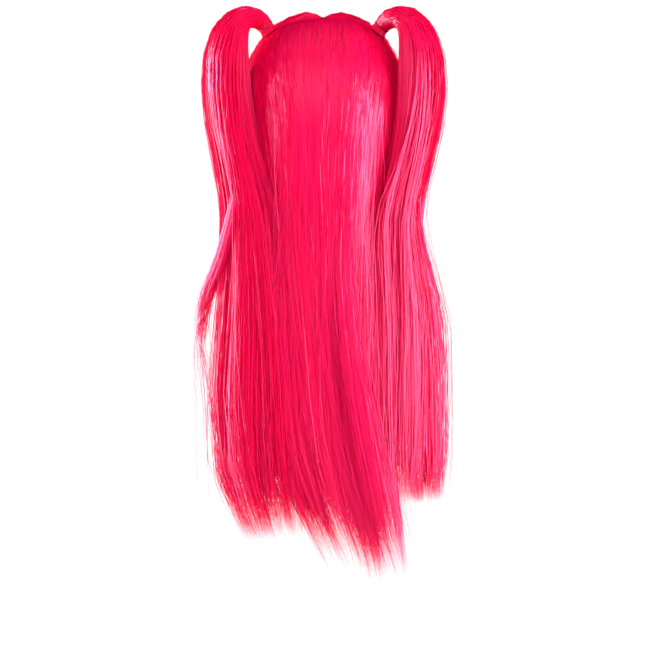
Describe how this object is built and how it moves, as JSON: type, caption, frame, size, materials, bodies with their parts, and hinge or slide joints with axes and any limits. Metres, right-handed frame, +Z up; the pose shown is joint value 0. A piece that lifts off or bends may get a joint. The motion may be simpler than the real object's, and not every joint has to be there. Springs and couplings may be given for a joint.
{
  "type": "cosplay wig",
  "caption": "Long straight hot-pink cosplay wig with a high arched bunch on each side, a centre part and loose back hair, worn over the head on an open cap.",
  "frame": {"origin": "inside of the cap's top, where the wig rests on the crown of the head", "axes": "+Z up, +Y towards the back of the head, the face opening towards -Y, +X towards the wearer's left"},
  "size_m": [0.2524, 0.2059, 0.5644],
  "materials": {
    "cap": "knitted stretch net, matt",
    "hair": "smooth synthetic fibre, soft sheen along the strands",
    "tie": "covered elastic, matt"
  },
  "bodies": {
    "root": {"cap": "cap", "front_hair_left": "hair", "front_hair_right": "hair", "back_hair_left": "hair", "back_hair_centre": "hair", "back_hair_right": "hair", "tie_left": "tie", "tie_right": "tie", "bunch_left": "hair", "bunch_right": "hair", "shoulder_lock": "hair"}
  },
  "joints": []
}
